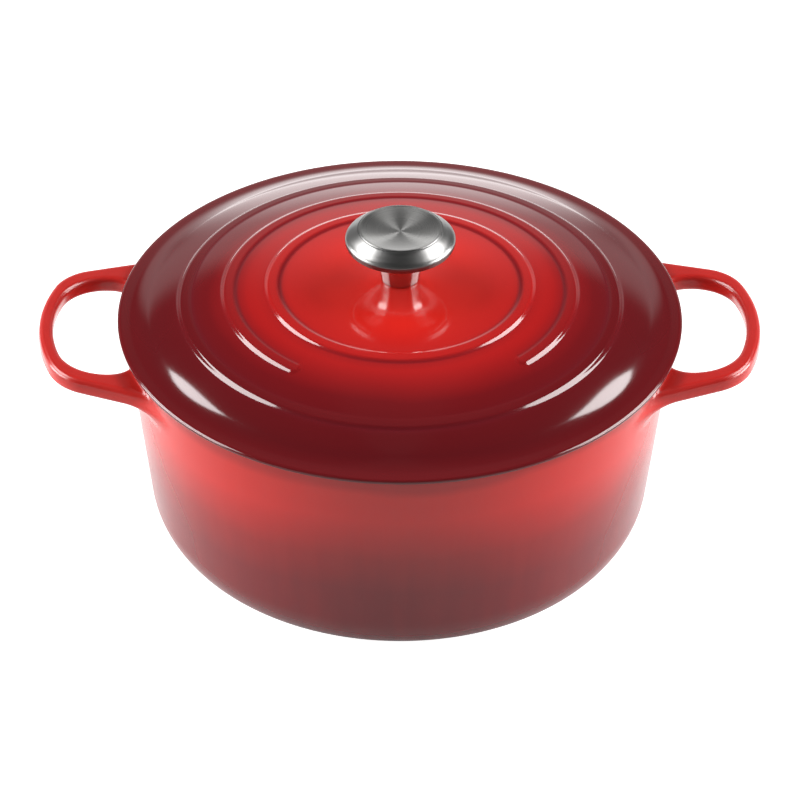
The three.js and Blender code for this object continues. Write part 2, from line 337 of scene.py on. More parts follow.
def enamel_finish(nodes, place, colour, inside, rim, smooth, satin):
    """Glassy enamel, not quite even; the rim is matt and grainy, the inside is satin."""
    uneven = nodes.span(nodes.noise(place, 45.0), 0.2, 0.8, smooth * 0.9, smooth * 1.1)
    rough = nodes.add("Mix", {0: inside, 2: uneven, 3: satin}).outputs[0]
    rough = nodes.add("Mix", {0: rim, 2: rough, 3: 0.6}).outputs[0]
    grain = nodes.math("MULTIPLY", nodes.noise(place, 2600.0, 2.0), rim)
    nodes.shade(
        Base_Color=colour,
        Roughness=rough,
        IOR=1.5,
        Normal=nodes.bump(grain, 0.5, 0.0002),
    )


def pot_enamel():
    nodes = new_material("pot_enamel")
    place = nodes.place()
    height = nodes.add("SeparateXYZ", {0: place}).outputs["Z"]
    drift = nodes.math("MULTIPLY_ADD", nodes.noise(place, 14.0), 0.012, -0.006)
    level = nodes.math("ADD", height, drift)
    share = nodes.span(level, 0.0, RIM_HEIGHT * MM, kind="LINEAR")
    red = nodes.ramp(
        share,
        [
            (0.00, (0.125, 0.011, 0.013)),
            (0.38, (0.140, 0.011, 0.013)),
            (0.56, (0.215, 0.012, 0.012)),
            (0.78, (0.400, 0.014, 0.011)),
            (0.92, BRIGHT_RED),
            (0.96, (0.28, 0.0085, 0.0065)),
        ],
    )
    streak = nodes.noise(nodes.stretched(place, (120.0, 120.0, 6.0)), 1.0, 3.0)
    red = nodes.mix(nodes.span(streak, 0.3, 0.8, 0.0, 0.06), red, (0.45, 0.03, 0.02, 1))
    colour, inside, rim = zoned(nodes, red, place)
    enamel_finish(nodes, place, colour, inside, rim, 0.24, 0.22)
    return nodes.owner


def lid_enamel():
    nodes = new_material("lid_enamel")
    place = nodes.place()
    drift = nodes.math("MULTIPLY_ADD", nodes.noise(place, 14.0), 0.010, -0.005)
    drifted = nodes.math("ADD", nodes.radius(place), drift)
    share = nodes.math("DIVIDE", drifted, LID_RADIUS * MM, clamp=True)
    red = nodes.ramp(
        share,
        [
            (0.00, BRIGHT_RED),
            (0.27, (0.350, 0.0100, 0.0068)),
            (0.38, (0.280, 0.0075, 0.0062)),
            (0.53, (0.218, 0.0055, 0.0055)),
            (0.68, (0.088, 0.0032, 0.0046)),
            (0.80, (0.067, 0.0032, 0.0046)),
            (0.90, (0.059, 0.0032, 0.0046)),
            (1.00, (0.076, 0.0038, 0.0052)),
        ],
    )
    # painted shade: a darker red mixed in beside the ridges, more outside them on the -Y side
    ridge_shade = nodes.add("Attribute", attribute_name="ridge_shade").outputs["Fac"]
    red = nodes.mix(nodes.math("MULTIPLY", ridge_shade, 0.75), red, RIDGE_SHADE_RED)
    colour, inside, rim = zoned(nodes, red, place)
    enamel_finish(nodes, place, colour, inside, rim, 0.09, 0.22)
    return nodes.owner


def turned_steel(name, tone, smooth, hazy):
    """Bare steel with faint turning marks round it."""
    nodes = new_material(name)
    marks = nodes.noise(nodes.stretched(nodes.place(), (60.0, 60.0, 900.0)), 1.0, 2.0)
    haze = nodes.span(marks, 0.3, 0.7, smooth, hazy)
    nodes.shade(Base_Color=(tone, 0.99 * tone, 0.97 * tone, 1), Metallic=1.0, Roughness=haze)
    return nodes.owner


def spun_steel():
    """The knob's disc: fine circular grooves, which spread a highlight along the radius."""
    nodes = new_material("spun_steel")
    across = nodes.add("CombineXYZ", {"X": nodes.radius(nodes.place())}).outputs[0]
    groove = nodes.noise(across, 5200.0, 3.0)
    rough = nodes.span(groove, 0.3, 0.7, 0.26, 0.36)
    nodes.shade(
        Base_Color=(0.44, 0.435, 0.425, 1),
        Metallic=1.0,
        Roughness=rough,
        Anisotropic=0.8,
        Tangent=nodes.add("Tangent", direction_type="RADIAL", axis="Z").outputs[0],
        Normal=nodes.bump(groove, 0.10, 0.0001),
    )
    return nodes.owner


def plain_steel():
    nodes = new_material("fixing_steel")
    place = nodes.place()
    turn = nodes.noise(nodes.stretched(place, (300.0, 300.0, 2400.0)), 1.0, 3.0)
    colour = nodes.mix(turn, (0.42, 0.42, 0.41, 1), (0.55, 0.54, 0.52, 1))
    nodes.shade(
        Base_Color=colour,
        Metallic=1.0,
        Roughness=nodes.span(turn, 0.3, 0.7, 0.28, 0.42),
        Normal=nodes.bump(turn, 0.15, 0.0001),
    )
    return nodes.owner


# ---- pot ----
def wall_radius(height):
    return CORNER_RADIUS + (height - CORNER_HEIGHT) * LEAN


def past_wall(points):
    """How far each point lies outside the wall, level with it."""
    return np.hypot(points[:, 0], points[:, 1]) - wall_radius(points[:, 2])


def outline_distance(u, v, tip, arcs):
    """Signed distance to an outline of arcs that run on from each other, then straight on."""
    v = np.abs(v)
    radius = arcs[0][0]
    cx, cy = tip - radius, 0.0
    past = np.ones(np.shape(u), bool)
    distance = np.hypot(u - cx, v - cy) - radius
    for index, (radius, angle) in enumerate(arcs):
        nx, ny = cos(radians(angle)), sin(radians(angle))
        past = past & ((v - cy) * nx - (u - cx) * ny > 0)
        if index + 1 < len(arcs):
            following = arcs[index + 1][0]
            cx, cy = cx + (radius - following) * nx, cy + (radius - following) * ny
            distance = np.where(past, np.hypot(u - cx, v - cy) - following, distance)
        else:
            distance = np.where(past, (u - cx) * nx + (v - cy) * ny - radius, distance)
    return distance


def outline_points(tip, arcs, tail, count):
    """Evenly spaced points along one half of an outline, from outside the wall to the tip."""
    radius = arcs[0][0]
    centre = np.array([tip - radius, 0.0])
    begin, points = 0.0, []
    for index, (radius, angle) in enumerate(arcs):
        turn = np.linspace(radians(begin), radians(angle), 200)
        points.append(centre + radius * np.c_[np.cos(turn), np.sin(turn)])
        begin = angle
        if index + 1 < len(arcs):
            reach = radius - arcs[index + 1][0]
            centre = centre + reach * np.array([cos(radians(angle)), sin(radians(angle))])
    along = np.array([-sin(radians(begin)), cos(radians(begin))])
    points.append(points[-1][-1] + np.linspace(0, tail, 200)[:, None] * along)
    path = np.vstack(points)
    path = path[np.hypot(path[:, 0], path[:, 1]) > RIM_RADIUS + 2.0][::-1]
    run = np.r_[0, np.cumsum(np.hypot(*np.diff(path, axis=0).T))]
    stops = np.linspace(0, run[-1], count)
    return np.c_[np.interp(stops, run, path[:, 0]), np.interp(stops, run, path[:, 1])]


def loop_distance(x, y, z):
    """Signed distance to a handle's plate, with rounded edges."""
    out, up = x - RIM_RADIUS, z - LOOP_TOP
    u = RIM_RADIUS + out * cos(LOOP_TILT) + up * sin(LOOP_TILT)
    w = up * cos(LOOP_TILT) - out * sin(LOOP_TILT) + LOOP_THICKNESS / 2
    flat = np.maximum(
        outline_distance(u, y, LOOP_TIP, OUTER_ARCS),
        -outline_distance(u, y, LOOP_TIP - BAR_WIDTH, INNER_ARCS),
    )
    flat, tall = flat + LOOP_EDGE, np.abs(w) - LOOP_THICKNESS / 2 + LOOP_EDGE
    outside = np.hypot(np.maximum(flat, 0), np.maximum(tall, 0))
    return outside + np.minimum(np.maximum(flat, tall), 0) - LOOP_EDGE, w


def casting_distance(points):
    """Signed distance to the wall and the handles, blended by a fillet that is wider below."""
    x, y, z = np.abs(points[:, 0]), points[:, 1], points[:, 2]
    wall = (np.hypot(x, y) - wall_radius(z)) / hypot(1, LEAN)
    loop, w = loop_distance(x, y, z)
    low = np.clip(0.5 - w / LOOP_THICKNESS, 0, 1)
    fillet = FILLET_ABOVE + (FILLET_BELOW - FILLET_ABOVE) * low * low * (3 - 2 * low)
    near = np.maximum(fillet - np.abs(wall - loop), 0) / fillet
    return np.minimum(wall, loop) - near * near * fillet / 4


def projected(points, rounds=3):
    """The points moved onto the blended surface."""
    step = 0.01
    for _ in range(rounds):
        here = casting_distance(points)
        slope = np.stack(
            [(casting_distance(points + step * np.eye(3)[k]) - here) / step for k in range(3)], 1
        )
        points = points - (here / np.maximum((slope**2).sum(1), 0.05))[:, None] * slope
    return points


def pot_rows():
    """The casting's profile from the middle of the underside round to the middle of the floor."""
    foot_inner = FOOT_RADIUS - FOOT_RING
    sweep = CORNER_RADIUS - FOOT_RADIUS
    pull = 0.55
    rim_inner = RIM_RADIUS - WALL
    round_low = RIM_HEIGHT - RIM_ROUND
    inner_top = wall_radius(BASE + INNER_CORNER) - WALL
    root_low, root_high = ROOT_HEIGHTS

    def on_wall(low, high, steps):
        heights = line((0, low), (0, high), steps)[:, 1]
        return np.c_[wall_radius(heights), heights]

    below = [
        line((0, FOOT_RECESS), (foot_inner - 4, FOOT_RECESS), 12),
        curve(
            [
                (foot_inner - 4, FOOT_RECESS),
                (foot_inner - 1, FOOT_RECESS),
                (foot_inner, 0),
                (foot_inner + 3, 0),
            ],
            6,
        ),
        line((foot_inner + 3, 0), (FOOT_RADIUS, 0), 4),
        curve(
            [
                (FOOT_RADIUS, 0),
                (FOOT_RADIUS + pull * sweep, 0),
                (CORNER_RADIUS - pull * CORNER_HEIGHT * LEAN, (1 - pull) * CORNER_HEIGHT),
                (CORNER_RADIUS, CORNER_HEIGHT),
            ],
            30,
        ),
        on_wall(CORNER_HEIGHT, STRAIGHT_HEIGHT, 26),
        on_wall(STRAIGHT_HEIGHT, root_low, 15),
    ]
    root_row = sum(len(part) for part in below)
    above = [
        on_wall(root_low, root_high, ROOT_ROWS),
        on_wall(root_high, round_low, 4),
        rounded(
            (wall_radius(round_low), round_low),
            (RIM_RADIUS, RIM_HEIGHT),
            (RIM_RADIUS - RIM_ROUND, RIM_HEIGHT),
            5,
        ),
        line((RIM_RADIUS - RIM_ROUND, RIM_HEIGHT), (rim_inner + RIM_ROUND, RIM_HEIGHT), 2),
        rounded(
            (rim_inner + RIM_ROUND, RIM_HEIGHT), (rim_inner, RIM_HEIGHT), (rim_inner, round_low), 5
        ),
        line((rim_inner, round_low), (inner_top, BASE + INNER_CORNER), 30),
        curve(
            [
                (inner_top, BASE + INNER_CORNER),
                (inner_top - 2.4, BASE + 9),
                (inner_top - 11, BASE),
                (inner_top - INNER_CORNER, BASE),
            ],
            20,
        ),
        line((inner_top - INNER_CORNER, BASE), (0, BASE), 16),
        np.array([[0.0, BASE]]),
    ]
    return np.vstack(below + above), root_row - 1  # turned() leaves out the row on the axis


def root_border(root_row, mirrored, turned_half):
    """The wall's vertices round one root, in the order of bar_section's points."""
    first, last = ROOT_COLUMNS
    low, high = root_row, root_row + ROOT_ROWS
    border = [(high, c) for c in range(first, last)]
    border += [(r, last) for r in range(high, low, -1)]
    border += [(low, c) for c in range(last, first, -1)]
    border += [(r, first) for r in range(low, high)]
    sign = -1 if mirrored else 1
    shift = COLUMNS // 2 if turned_half else 0
    return [r * COLUMNS + (sign * c + shift) % COLUMNS for r, c in border]


def bar_section():
    """Points round a bar's section, in the order of root_border: across and up, from -1 to 1."""
    wide, tall = ROOT_COLUMNS[1] - ROOT_COLUMNS[0], ROOT_ROWS
    across = np.linspace(-1, 1, wide + 1)
    up = np.linspace(-1, 1, tall + 1)
    section = [(a, 1) for a in across[:-1]] + [(1, b) for b in up[:0:-1]]
    section += [(a, -1) for a in across[:0:-1]] + [(-1, b) for b in up[:-1]]
    return np.array(section, float)


def loop_sections():
    """Rings of points round a loop, from the root at +y over the tip to the root at -y."""
    inner = outline_points(LOOP_TIP - BAR_WIDTH, INNER_ARCS, 20, LOOP_SECTIONS)
    outer = outline_points(LOOP_TIP, OUTER_ARCS, 60, LOOP_SECTIONS)
    section = bar_section()
    rings = []
    for a, b in zip(inner, outer):
        flat = (a + b) / 2 + section[:, :1] * (b - a) / 2
        up = (section[:, 1] - 1) * LOOP_THICKNESS / 2
        out = flat[:, 0] - RIM_RADIUS
        x = RIM_RADIUS + out * cos(LOOP_TILT) - up * sin(LOOP_TILT)
        z = LOOP_TOP + out * sin(LOOP_TILT) + up * cos(LOOP_TILT)
        rings.append(np.c_[x, flat[:, 1], z])
    mirror = np.array([1, -1, 1])
    return rings + [ring * mirror for ring in rings[-2::-1]]


def relaxed(points, faces, movable, rounds):
    """Movable points spread evenly over the blended surface."""
    edges = {tuple(sorted(pair)) for f in faces for pair in zip(f, f[1:] + f[:1])}
    edges = np.array(sorted(edges))
    edges = edges[movable[edges].any(1)]
    heads = np.r_[edges[:, 0], edges[:, 1]]
    tails = np.r_[edges[:, 1], edges[:, 0]]
    count = np.maximum(np.bincount(heads, minlength=len(points)), 1)
    for _ in range(rounds):
        mean = np.stack(
            [np.bincount(heads, points[tails, k], len(points)) / count for k in range(3)], 1
        )
        points[movable] = projected((points[movable] + mean[movable]) / 2, 1)
    points[movable] = projected(points[movable])
    return points


def pot():
    profile, root_row = pot_rows()
    first, last = ROOT_COLUMNS

    def in_root(row, column):
        side = column % (COLUMNS // 2)
        side = min(side, COLUMNS // 2 - 1 - side)
        return root_row <= row < root_row + ROOT_ROWS and first <= side < last

    points, faces = turned(profile, COLUMNS, closed=False)
    rows = len(profile) - 2
    rim_vertex = (root_row + ROOT_ROWS) * COLUMNS
    fans = faces[-2 * COLUMNS :]
    faces = grid_faces(rows, COLUMNS, False, in_root) + fans
    angles = np.arctan2(points[:, 1], np.abs(points[:, 0]))
    outside = past_wall(points) > -1
    in_band = (points[:, 2] > BLEND_HEIGHTS[0]) & (points[:, 2] < BLEND_HEIGHTS[1])
    movable = [outside & in_band & (np.abs(angles) < BLEND_ANGLE)]
    rings = loop_sections()
    for turned_half in (False, True):
        spin = np.array([-1, -1, 1]) if turned_half else np.array([1, 1, 1])
        strip = [root_border(root_row, False, turned_half)]
        for ring in rings:
            strip.append(list(range(len(points), len(points) + len(ring))))
            points = np.vstack([points, ring * spin])
        strip.append(root_border(root_row, True, turned_half))
        for a, b in zip(strip, strip[1:]):
            count = len(a)
            for i in range(count):
                j = (i + 1) % count
                faces.append((a[i], a[j], b[j], b[i]))
        movable.append(np.ones(len(rings) * len(rings[0]), bool))
    movable = np.concatenate(movable)
    points = relaxed(points, faces, movable, 60)
    within = past_wall(points) < -WALL / 2
    inside = within & (points[:, 2] > BASE - 0.1) & (np.arange(len(points)) > rim_vertex)
    rim = (points[:, 2] > RIM_HEIGHT - RIM_BAND) & (np.abs(past_wall(points)) < WALL + 1)
    return piece(
        "pot_casting", points, faces, [pot_enamel()], "pot", "pot",
        zones={"inside": inside, "rim": rim},
    )


# ---- lid ----
def dome_height(radius):
    return DOME_HEIGHT - DOME_DROP * (radius / RING_RADII[-1]) ** DOME_POWER


def ridge(distance, height):
    """A ridge's height at a distance from its middle line: a crown arc that meets a hollow one."""
    both = RING_CROWN + RING_FILLET
    foot = (2 * both * height - height**2) ** 0.5
    turn = RING_CROWN * foot / both
    d = np.maximum(np.abs(distance) - RING_FLAT, 0)
    crown = height - RING_CROWN + np.sqrt(np.maximum(RING_CROWN**2 - np.minimum(d, turn) ** 2, 0))
    hollow = RING_FILLET - np.sqrt(np.maximum(RING_FILLET**2 - np.clip(foot - d, 0, RING_FILLET) ** 2, 0))
    return np.where(d < turn, crown, hollow)


def broken_ridge(radius, angle):
    """The middle ridge, whose two ends are round."""
    low, high = BROKEN_RING
    middle = RING_RADII[1]
    turn = (angle - low) % (2 * pi)
    on_arc = turn < high - low
    off = np.minimum(np.abs(turn - (high - low)), 2 * pi - turn)
    to_end = np.sqrt(np.maximum(radius**2 + middle**2 - 2 * radius * middle * np.cos(off), 0))
    return ridge(np.where(on_arc, radius - middle, to_end), RING_HEIGHTS[1])


def levelled(radius, middle, height):
    """What makes a ridge's top more level, although the dome falls away under it."""
    fall = DOME_DROP * DOME_POWER / middle * (middle / RING_RADII[-1]) ** DOME_POWER
    return 1 + RING_LEVEL * fall * np.clip(radius - middle, -4, 4) / height


def lid_top_height(radius, angle):
    share = np.clip((BOSS_FLARE - radius) / (BOSS_FLARE - BOSS_RADIUS), 0, 1)
    base = dome_height(radius)
    base = base + (BOSS_HEIGHT - base) * share**2.4
    rings = list(zip(RING_RADII, RING_HEIGHTS))
    whole = [levelled(radius, *ring) * ridge(radius - ring[0], ring[1]) for ring in rings[::2]]
    return base + sum(whole) + levelled(radius, *rings[1]) * broken_ridge(radius, angle)


def ridge_shade_share(radius, angle):
    """Painted shade beside a ridge, from 0 to 1: mostly outside it at -Y, inside it at +Y."""
    turn = (angle - BROKEN_RING[0]) % (2 * pi)
    whole = np.array([np.ones_like(turn), turn < BROKEN_RING[1] - BROKEN_RING[0], np.ones_like(turn)])
    off = [radius - middle for middle in RING_RADII]
    inner = sum(w * np.exp(-(((d + 3.6) / 1.5) ** 2)) for w, d in zip(whole, off))
    outer = sum(w * np.exp(-(((d - 4.0) / 1.3) ** 2)) for w, d in zip(whole, off))
    front = np.clip(-np.sin(angle), 0, 1) ** 2
    return np.clip((1 - front) * inner + (0.3 + 0.6 * front) * outer, 0, 1)


def lid_angles():
    """Columns once a degree, and closer together round the ends of the middle ridge."""
    fine = [end + radians(d / 4) for end in BROKEN_RING for d in range(-18, 19)]
    every = [radians(d) for d in range(360)]
    far = [a for a in every if all(abs((a - e + pi) % (2 * pi) - pi) > radians(4.6) for e in BROKEN_RING)]
    return np.array(sorted((a % (2 * pi)) for a in far + fine))


def top_radii():
    """Rows across the lid's top: close together over the ridges."""
    flare_end = BOSS_FLARE + 2
    stops = [(BORE, BOSS_RADIUS, 3), (BOSS_RADIUS, flare_end, 26), (flare_end, INNER_END, 12)]
    edge = INNER_END
    for middle in RING_RADII:
        stops += [(edge, middle - RING_REACH, 3)] if middle - RING_REACH > edge else []
        stops.append((middle - RING_REACH, middle + RING_REACH, 23))
        edge = middle + RING_REACH
    stops.append((edge, SHOULDER_START, 3))
    return np.concatenate([np.arange(n) / n * (b - a) + a for a, b, n in stops])


def lid_edge():
    """The shoulder, the narrow flange, the edge and the whole underside."""
    lip_inner = LIP_OUTER - LIP_WIDTH
    start = dome_height(SHOULDER_START)
    edge_top = (LID_RADIUS, 1.3)

    def under(radius):
        return dome_height(radius) - LID_THICKNESS

    outlines = [
        [(SHOULDER_START, start), (124.0, start - 0.64), (127.8, 6.88), SHOULDER_END],
        [SHOULDER_END, (131.8, 5.1), (137.0, 3.14), FLANGE_START],
        [FLANGE_START, (141.5, 2.80), (143.0, 2.71), FLANGE_END],
        [FLANGE_END, (145.5, 2.48), (LID_RADIUS, 2.0), edge_top],
        [edge_top, (LID_RADIUS, 0.4), (145.6, 0), (EDGE_UNDER, 0)],
    ]
    flat, corner, side = SEAT_ROWS
    parts = [curve(outline, rows) for outline, rows in zip(outlines, EDGE_ROWS)] + [
        line((EDGE_UNDER, 0), (LIP_OUTER + 0.8, 0), flat),
        curve([(LIP_OUTER + 0.8, 0), (LIP_OUTER, 0), (LIP_OUTER, -0.8)], corner),
        line((LIP_OUTER, -0.8), (LIP_OUTER - 0.5, 1 - LIP_DEPTH), side),
        curve(
            [
                (LIP_OUTER - 0.5, 1 - LIP_DEPTH),
                (LIP_OUTER - 0.6, -LIP_DEPTH),
                (LIP_OUTER - 1.6, -LIP_DEPTH),
            ],
            4,
        ),
        line((LIP_OUTER - 1.6, -LIP_DEPTH), (lip_inner + 1, -LIP_DEPTH), 2),
        curve([(lip_inner + 1, -LIP_DEPTH), (lip_inner, -LIP_DEPTH), (lip_inner, 1 - LIP_DEPTH)], 4),
        curve(
            [
                (lip_inner, 1 - LIP_DEPTH),
                (lip_inner - 1.5, 0),
                (lip_inner - 3.2, under(lip_inner - 4) - 0.6),
                (lip_inner - 6, under(lip_inner - 6)),
            ],
            8,
        ),
    ]
    radii = np.linspace(lip_inner - 6, PAD_RADIUS + 4, 24)[:-1]
    parts.append(np.c_[radii, under(radii)])
    pad = PAD_RADIUS + 4
    slope = [(pad, under(pad)), (pad - 1.6, under(pad)), (pad - 2.2, PAD_HEIGHT)]
    parts.append(curve(slope + [(PAD_RADIUS, PAD_HEIGHT)], 5))
    parts.append(line((PAD_RADIUS, PAD_HEIGHT), (BORE, PAD_HEIGHT), 4))
    parts.append(line((BORE, PAD_HEIGHT), (BORE, BOSS_HEIGHT), 2))
    return np.vstack(parts)


def lid():
    angles = lid_angles()
    radii = top_radii()
    rest = lid_edge()
    columns = len(angles)
    radius = np.r_[radii, rest[:, 0]][:, None] * np.ones(columns)
    height = rest[:, 1:] * np.ones(columns)
    top = lid_top_height(radii[:, None] * np.ones(columns), angles[None] * np.ones((len(radii), 1)))
    height = np.vstack([top, height])
    points = np.stack([radius * np.cos(angles), radius * np.sin(angles), height + EDGE_HEIGHT], 2)
    rows = len(radius)
    faces = grid_faces(rows, columns, True)
    seat = len(radii) + sum(EDGE_ROWS)
    row = np.arange(rows)[:, None] * np.ones(columns, int)
    under = row >= seat + sum(SEAT_ROWS)
    rim = (row >= seat) & ~under
    # painted shade beside the ridges, kept as a vertex attribute for the lid material
    ridge_shade = np.zeros((rows, columns))
    ridge_shade[: len(radii)] = ridge_shade_share(radii[:, None] * np.ones(columns), angles[None])
    return piece(
        "lid_casting", points.reshape(-1, 3), faces, [lid_enamel()], "lid", "lid",
        zones={"inside": under.ravel(), "rim": rim.ravel(), "ridge_shade": ridge_shade.ravel()},
    )


# ---- knob and its fixings ----
def raised(profile):
    return profile + np.array([0, EDGE_HEIGHT])


def knob_top():
    """The pressed cap: a shallow spun dish, a fine groove round it and a satin bevelled rim."""
    dish_low = DISC_HEIGHT - DISH
    inner = DISC_HEIGHT - SHEET
    rim = KNOB_RADIUS
    dish_end = (DISC_RADIUS - 0.5, DISC_HEIGHT)
    groove = (DISC_RADIUS + 0.1, DISC_HEIGHT - 0.35)
    fold = (FOLD_RADIUS, FOLD_HEIGHT)
    fold_inner = (FOLD_RADIUS - 0.4, FOLD_HEIGHT + 0.9)
    profile = np.vstack(
        [
            curve([(0, dish_low), (DISC_RADIUS * 0.5, dish_low), dish_end], 24),
            curve([dish_end, (DISC_RADIUS, DISC_HEIGHT), groove], 4),
            curve(
                [
                    groove,
                    (DISC_RADIUS + 0.3, DISC_HEIGHT - 0.55),
                    (DISC_RADIUS + 0.7, DISC_HEIGHT - 0.5),
                ],
                4,
            ),
            curve(
                [
                    (DISC_RADIUS + 0.7, DISC_HEIGHT - 0.5),
                    (rim - 4.0, DISC_HEIGHT - 2.6),
                    (rim - 0.4, CAP_RIM_HEIGHT + 2.0),
                    (rim, CAP_RIM_HEIGHT),
                ],
                22,
            ),
            curve([(rim, CAP_RIM_HEIGHT), (rim, FOLD_HEIGHT + 0.2), fold], 8),
            curve([fold, (FOLD_RADIUS - 0.6, FOLD_HEIGHT), fold_inner], 3),
            line(fold_inner, (rim - SHEET, CAP_RIM_HEIGHT + 0.4), 2),
            curve(
                [
                    (rim - SHEET, CAP_RIM_HEIGHT + 0.4),
                    (rim - 3, inner - 1.4),
                    (DISC_RADIUS - 1, inner),
                ],
                6,
            ),
            curve([(DISC_RADIUS - 1, inner), (DISC_RADIUS / 2, inner - DISH), (0, inner - DISH)], 6),
            np.array([[0, inner - DISH]]),
        ]
    )
    points, faces = turned(raised(profile), TURNED_COLUMNS, closed=False)
    steels = [turned_steel("satin_steel", 0.175, 0.28, 0.32), spun_steel()]
    spun_radius = DISC_RADIUS - 0.2
    spun_height = EDGE_HEIGHT + dish_low - 0.5

    def choose(centre):
        return int(hypot(centre.x, centre.y) < spun_radius and centre.z > spun_height)

    return piece("knob_cap", points, faces, steels, "lid", "knob_top", choose)


def knob_skirt():
    """The trumpet under the cap, in one sheet with the stem."""
    edge = FOLD_RADIUS - 0.9
    neck = (NECK_RADIUS, NECK_HEIGHT)
    inner_neck = (NECK_RADIUS - SHEET, NECK_HEIGHT)
    profile = np.vstack(
        [
            line((STEM_FOOT_RADIUS, STEM_FOOT + 0.3), neck, 6),
            curve(
                [
                    neck,
                    (NECK_RADIUS + 1, NECK_HEIGHT + 5),
                    (edge - 9, FOLD_HEIGHT - 1.6),
                    (edge, FOLD_HEIGHT),
                ],
                20,
            ),
            line((edge, FOLD_HEIGHT), (edge, FOLD_HEIGHT + SHEET), 2),
            curve(
                [
                    (edge, FOLD_HEIGHT + SHEET),
                    (edge - 9, FOLD_HEIGHT - 1.6 + SHEET),
                    (NECK_RADIUS + 1 - SHEET, NECK_HEIGHT + 5 + SHEET),
                    inner_neck,
                ],
                12,
            ),
            line(inner_neck, (STEM_FOOT_RADIUS - SHEET, STEM_FOOT), 4),
            line((STEM_FOOT_RADIUS - SHEET, STEM_FOOT), (STEM_FOOT_RADIUS - 0.3, STEM_FOOT), 1),
            curve(
                [
                    (STEM_FOOT_RADIUS - 0.3, STEM_FOOT),
                    (STEM_FOOT_RADIUS, STEM_FOOT),
                    (STEM_FOOT_RADIUS, STEM_FOOT + 0.3),
                ],
                3,
            ),
        ]
    )
    points, faces = turned(raised(profile), TURNED_COLUMNS, closed=True)
    steel = turned_steel("polished_steel", 0.50, 0.17, 0.21)
    return piece("knob_stem", points, faces, [steel], "lid", "knob_skirt")


def ring_piece(name, node, steel):
    """A turned ring that fills its CAD node's box round the screw, with chamfered edges."""
    low, high = (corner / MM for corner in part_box(node))
    outer, bore = high.y, FIXING_BORE
    c = 0.2
    profile = np.array(
        [
            (bore, low.z + c), (bore + c, low.z), (outer - c, low.z), (outer, low.z + c),
            (outer, high.z - c), (outer - c, high.z), (bore + c, high.z), (bore, high.z - c),
        ]
    )
    points, faces = turned(profile, FIXING_COLUMNS, closed=True)
    return piece(name, points, faces, [steel], "lid", node)


def bush(steel):
    low, high = (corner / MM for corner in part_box("knob_bush"))
    bore, foot = FIXING_BORE, STEM_FOOT_RADIUS - SHEET - 0.3
    top = NECK_RADIUS - SHEET - 0.3
    profile = np.array(
        [
            (bore, low.z + 0.6), (bore + 0.6, low.z), (foot - 0.4, low.z), (foot, low.z + 0.4),
            (top, high.z - 1), (top - 1, high.z), (bore + 0.6, high.z), (bore, high.z - 0.6),
        ]
    )
    points, faces = turned(profile, FIXING_COLUMNS, closed=True)
    return piece("knob_insert", points, faces, [steel], "lid", "knob_bush")


def cut_box(target, size, centre):
    """Cuts a box out of a piece."""
    mesh = bpy.data.meshes.new("cutter")
    box = bmesh.new()
    bmesh.ops.create_cube(box, size=1)
    scale = Matrix.Diagonal((*(s * MM for s in size), 1))
    box.transform(Matrix.Translation(Vector(centre) * MM) @ scale)
    box.to_mesh(mesh)
    box.free()
    cutter = bpy.data.objects.new("cutter", mesh)
    bpy.context.scene.collection.objects.link(cutter)
    cut = target.modifiers.new("cut", "BOOLEAN")
    cut.operation, cut.solver, cut.object = "DIFFERENCE", "EXACT", cutter
    bpy.context.view_layer.update()
    shaped = bpy.data.meshes.new_from_object(target.evaluated_get(bpy.context.evaluated_depsgraph_get()))
    target.modifiers.clear()
    target.data = shaped
    bpy.data.objects.remove(cutter)
    shaped.set_sharp_from_angle(angle=radians(35))


def screw(steel):
    low, high = (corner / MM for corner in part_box("knob_screw"))
    head, shaft = high.y, 3.0
    head_top = low.z + 3.6
    profile = np.vstack(
        [
            line((0, low.z), (head * 0.5, low.z), 3),
            curve([(head * 0.5, low.z), (head * 0.95, low.z), (head, head_top - 0.9)], 10),
            curve([(head, head_top - 0.9), (head, head_top), (head - 0.4, head_top)], 3),
            line((head - 0.4, head_top), (shaft, head_top), 2),
            line((shaft, head_top), (shaft, high.z - 0.8), 8),
            line((shaft, high.z - 0.8), (shaft - 0.8, high.z), 1),
            line((shaft - 0.8, high.z), (0, high.z), 2),
            np.array([[0, high.z]]),
        ]
    )
    points, faces = turned(profile, FIXING_COLUMNS, closed=False)
    made = piece("knob_bolt", points, faces, [steel], "lid", "knob_screw")
    cut_box(made, (4 * head, 1.4, 3.6), (0, 0, low.z))
    return made


def fixings():
    steel = plain_steel()
    bush(steel)
    screw(steel)
    ring_piece("plain_washer", "flat_washer", steel)
    split = ring_piece("split_washer", "spring_washer", steel)
    low, high = (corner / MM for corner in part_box("spring_washer"))
    cut_box(split, (1, 4.5, 6), (0, 4.6, (low.z + high.z) / 2))


# ---- camera, light and floor ----
def camera():
    data = bpy.data.cameras.new("camera")
    data.lens, data.sensor_width = 217.35, 36.0
    data.shift_x = 0.00075
    made = bpy.data.objects.new("camera", data)
    made.matrix_world = (
        Matrix.Translation((-0.0323, -2.055, 1.550))
        @ Matrix.Rotation(radians(-0.9), 4, "Z")
        @ Matrix.Rotation(radians(90 - 35.69), 4, "X")
        @ Matrix.Rotation(radians(0.33), 4, "Z")
    )
    bpy.context.scene.collection.objects.link(made)
    bpy.context.scene.camera = made


